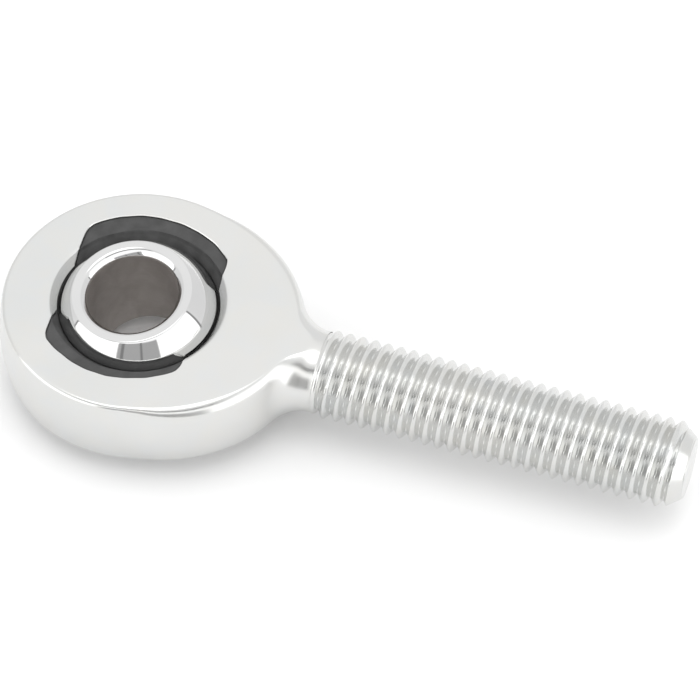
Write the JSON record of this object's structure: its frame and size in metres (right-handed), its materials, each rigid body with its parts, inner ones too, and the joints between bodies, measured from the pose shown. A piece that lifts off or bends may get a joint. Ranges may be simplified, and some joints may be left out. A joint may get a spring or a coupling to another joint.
{
  "type": "rod end bearing",
  "caption": "Rod end bearing: steel eye with a male left-hand threaded shank, and a pierced ball that tilts in a moulded plastic race to take up misalignment.",
  "frame": {"origin": "centre of the ball, on the axis of the eye at its mid thickness", "axes": "+X along the shank from the eye to the threaded tip, +Z along the axis of the eye on the side of the loading slots, +Y across"},
  "size_m": [0.0945, 0.0372, 0.0178],
  "materials": {
    "zinc_plated_steel": "bright zinc plating, satin",
    "race_plastic": "moulded, matt, slightly rough",
    "bearing_steel": "ground and polished"
  },
  "bodies": {
    "housing": {"rod_end_housing": "zinc_plated_steel", "moulded_race": "race_plastic"},
    "ball": {"inner_ring_ball": "bearing_steel"}
  },
  "joints": [
    {"name": "ball_tilt", "type": "hinge", "parent": "housing", "child": "ball", "pos_m": [0, 0, 0], "axis": [1, 0, 0], "range_deg": [-18.2, 7.8]}
  ]
}
